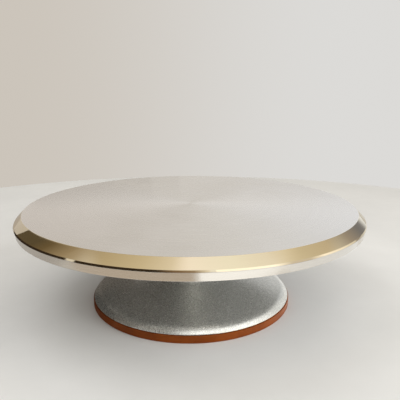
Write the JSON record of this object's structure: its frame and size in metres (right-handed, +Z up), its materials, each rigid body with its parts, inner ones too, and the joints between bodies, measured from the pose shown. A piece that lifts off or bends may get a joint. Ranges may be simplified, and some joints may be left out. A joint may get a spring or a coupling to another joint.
{
  "type": "cake turntable",
  "caption": "Round revolving cake stand: a flat bevelled metal plate on a ball-bearing spindle over a domed pedestal foot with a rubber non-slip ring.",
  "frame": {"origin": "on the spin axis, at the middle of the foot ring's underside, on the surface that the turntable stands on", "axes": "+Z up along the spin axis; +X to the right and -Y to the front"},
  "size_m": [0.305, 0.305, 0.09],
  "materials": {
    "brushed_aluminium": "lathe-brushed, with a polished bevel",
    "silver_coat": "silver sparkle powder coat on cast aluminium",
    "silicone": "matte orange-brown silicone",
    "spindle_steel": "turned and ground",
    "bearing_steel": "ground",
    "ball_steel": "polished",
    "cage_steel": "pressed",
    "zinc_steel": "zinc plated",
    "spring_steel": "phosphated",
    "black_screw": "black oxide",
    "felt": "dense felt",
    "cap_plastic": "matte"
  },
  "bodies": {
    "pedestal": {"pedestal": "silver_coat", "non_slip_ring": "silicone", "upper_bearing_outer_ring": "bearing_steel", "lower_bearing_outer_ring": "bearing_steel", "upper_bearing_top_shield": "cage_steel", "upper_bearing_bottom_shield": "cage_steel", "lower_bearing_top_shield": "cage_steel", "lower_bearing_bottom_shield": "cage_steel", "upper_retaining_ring": "spring_steel", "lower_retaining_ring": "spring_steel", "dust_seal": "felt", "dust_cap": "cap_plastic"},
    "platter": {"platter": "brushed_aluminium", "spindle": "spindle_steel", "hub_screw_1": "black_screw", "hub_screw_2": "black_screw", "hub_screw_3": "black_screw", "hub_screw_4": "black_screw", "bearing_spacer": "spindle_steel", "spindle_washer": "zinc_steel", "lock_nut": "zinc_steel", "upper_bearing_inner_ring": "bearing_steel", "lower_bearing_inner_ring": "bearing_steel"},
    "upper_cage": {"upper_bearing_cage": "cage_steel", "upper_ball_1": "ball_steel", "upper_ball_2": "ball_steel", "upper_ball_3": "ball_steel", "upper_ball_4": "ball_steel", "upper_ball_5": "ball_steel", "upper_ball_6": "ball_steel", "upper_ball_7": "ball_steel", "upper_ball_8": "ball_steel"},
    "lower_cage": {"lower_bearing_cage": "cage_steel", "lower_ball_1": "ball_steel", "lower_ball_2": "ball_steel", "lower_ball_3": "ball_steel", "lower_ball_4": "ball_steel", "lower_ball_5": "ball_steel", "lower_ball_6": "ball_steel", "lower_ball_7": "ball_steel", "lower_ball_8": "ball_steel"}
  },
  "joints": [
    {"name": "platter_spin", "type": "hinge", "parent": "pedestal", "child": "platter", "pos_m": [0, 0, 0.05], "axis": [0, 0, 1], "continuous": true},
    {"name": "upper_cage_spin", "type": "hinge", "parent": "pedestal", "child": "upper_cage", "pos_m": [0, 0, 0.0681], "axis": [0, 0, 1], "continuous": true},
    {"name": "lower_cage_spin", "type": "hinge", "parent": "pedestal", "child": "lower_cage", "pos_m": [0, 0, 0.032], "axis": [0, 0, 1], "continuous": true}
  ],
  "couplings": [
    {"joint": "upper_cage_spin", "follows": "platter_spin", "ratio": 0.381},
    {"joint": "lower_cage_spin", "follows": "platter_spin", "ratio": 0.381}
  ]
}
